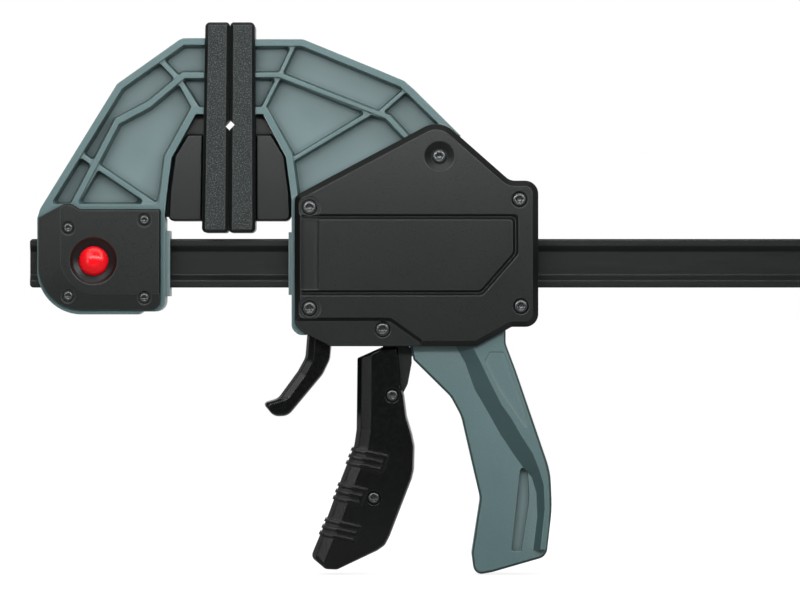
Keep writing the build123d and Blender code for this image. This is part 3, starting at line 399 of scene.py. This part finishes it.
# ---- Release button ------------------------------------------------------------------------
# Polished red plastic dome on the lock pin's end; it sinks into its bowl when it is pressed.
# It is injection moulded, and smooth enough to show the lamps as clear highlights.
# The third colour is a painted highlight on the round edges, the fourth a darker painted shade on
# walls and in recesses.
button_colours = ("#ff0016", "#fd0015", "#ff2a34", "#e80414", "#ff0016")
red = moulded("acetal_red_polished", button_colours, grain=1.5 * MM, depth=0.002 * MM,
              roughness=0.2, edge=0.4 * MM, edge_highlight=0.3, specks=0.0, wall_roughness=0.22,
              recess_share=0.1)
dress(red, "release_button")

# ---- Camera --------------------------------------------------------------------------------
# It looks square onto the clamp's front, from far enough away for little perspective. The
# picture's right edge cuts off the bar's far end.
view_scale = 0.45 * MM  # real size of one image pixel at the front of the clamp
image_width = 800
view_centre = (76.8 * MM, -16.6 * MM)
front_plane = -15.0 * MM
camera_distance = 3.0
camera_data = bpy.data.cameras.new("camera")
camera_data.sensor_width = 36.0
camera_data.lens = camera_data.sensor_width * camera_distance / (image_width * view_scale)
camera = bpy.data.objects.new("camera", camera_data)
bpy.context.scene.collection.objects.link(camera)
camera.location = (view_centre[0], front_plane - camera_distance, view_centre[1])
camera.rotation_euler = (radians(90), 0, 0)
bpy.context.scene.camera = camera

# ---- Floor and surround --------------------------------------------------------------------
# A pale floor and a white surround. To the camera the floor glows, more so further off, so it
# shows as white, joins the surround and keeps a soft shadow. The surround is dim on the side
# that faces the clamp's front, as a studio is behind its camera, so polished black stays black.
floor_z = min(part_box(name)[0].z for name in nodes) - 0.5 * MM
floor_half = 1.6
near, far = 0.35, 1.2  # how far off the floor starts to turn white, and where it is white
near_glow, mirrored_glow = 0.84, 0.7
fill_light = 0.48
front_glow = 0.06
fade = 0.5  # how far behind the clamp's middle the mirrored glow is full
floor_mesh = bpy.data.meshes.new("floor")
corners = [(-1, -1), (1, -1), (1, 1), (-1, 1)]
floor_mesh.from_pydata(
    [(x * floor_half, y * floor_half, floor_z) for x, y in corners], [], [(0, 1, 2, 3)])
floor = bpy.data.objects.new("floor", floor_mesh)
bpy.context.scene.collection.objects.link(floor)


def seen_directly(tree):
    """Two shares: 1 for a camera ray, and 1 for a glossy or a transmission ray."""
    path = add(tree, "ShaderNodeLightPath").outputs
    mirrored = add(tree, "ShaderNodeMath", {
        0: path["Is Glossy Ray"], 1: path["Is Transmission Ray"]}, operation="MAXIMUM")
    return path["Is Camera Ray"], mirrored


floor_material, tree = new_material("floor_white_paint")
place = add(tree, "ShaderNodeTexCoord").outputs["Object"]
away = add(tree, "ShaderNodeVectorMath", {0: place}, operation="LENGTH").outputs["Value"]
behind = add(tree, "ShaderNodeSeparateXYZ", {0: place}).outputs["Y"]
white = add(tree, "ShaderNodeMapRange", {0: away, 1: near, 2: far, 3: near_glow, 4: 1.0})
dim = add(tree, "ShaderNodeMapRange", {0: behind, 1: 0.0, 2: fade, 4: mirrored_glow})
camera_ray, mirror_ray = seen_directly(tree)
to_camera = add(tree, "ShaderNodeMath", {0: camera_ray, 1: white}, operation="MULTIPLY")
to_gloss = add(tree, "ShaderNodeMath", {0: mirror_ray, 1: dim}, operation="MULTIPLY")
both = add(tree, "ShaderNodeMath", {0: to_camera, 1: to_gloss}, operation="ADD")
shader = add(tree, "ShaderNodeBsdfPrincipled", {
    "Base Color": "#8f8f8f", "Roughness": 0.9, "Specular IOR Level": 0.0,
    "Emission Color": "#ffffff", "Emission Strength": both})
add(tree, "ShaderNodeOutputMaterial", {"Surface": shader})
floor_mesh.materials.append(floor_material)

world = bpy.data.worlds.new("surround")
world.use_nodes = True
bpy.context.scene.world = world
tree = world.node_tree
tree.nodes.clear()
toward = add(tree, "ShaderNodeTexCoord").outputs["Generated"]
toward = add(tree, "ShaderNodeSeparateXYZ", {0: toward}).outputs["Y"]
backdrop = add(tree, "ShaderNodeMapRange", {0: toward, 1: 0.0, 2: fade, 3: front_glow, 4: 1.0})
camera_ray, mirror_ray = seen_directly(tree)
light = add(tree, "ShaderNodeMix", {0: mirror_ray, 2: fill_light, 3: backdrop})
light = add(tree, "ShaderNodeMix", {0: camera_ray, 2: light, 3: 1.0})
glow = add(tree, "ShaderNodeBackground", {"Color": "#ffffff", "Strength": light})
add(tree, "ShaderNodeOutputWorld", {"Surface": glow})

# ---- Lamps ---------------------------------------------------------------------------------
# A wide box close above lights the tops, and a box in front at the left is the key. A low one
# gives the black covers their sheen, and two narrow strips at the sides draw the edges of the
# trigger, the lever and the covers. A box behind lights the rear.
aim = Vector((40 * MM, 0, 0))
lamps = (  # name, place, width and height, all in metres, and watts
    ("top_box", (0.02, -0.16, 0.34), (0.50, 0.16), 0.5),
    ("key_box", (-0.30, -0.46, 0.34), (0.35, 0.35), 0.7),
    ("sheen_box", (0.03, -0.40, 0.15), (0.50, 0.06), 0.95),
    ("left_strip", (-0.50, -0.62, 0.0), (0.04, 0.5), 0.45),
    ("right_strip", (0.60, -0.62, 0.36), (0.08, 0.6), 1.5),
    ("rear_box", (0.15, 0.75, 0.60), (0.6, 0.6), 3.5),
)
for name, place, size, power in lamps:
    lamp = bpy.data.lights.new(name, "AREA")
    lamp.shape, lamp.energy = "RECTANGLE", power
    lamp.size, lamp.size_y = size
    holder = bpy.data.objects.new(name, lamp)
    bpy.context.scene.collection.objects.link(holder)
    holder.location = place
    holder.rotation_euler = (aim - Vector(place)).to_track_quat("-Z", "Y").to_euler()

bpy.context.scene.view_settings.view_transform = "Standard"
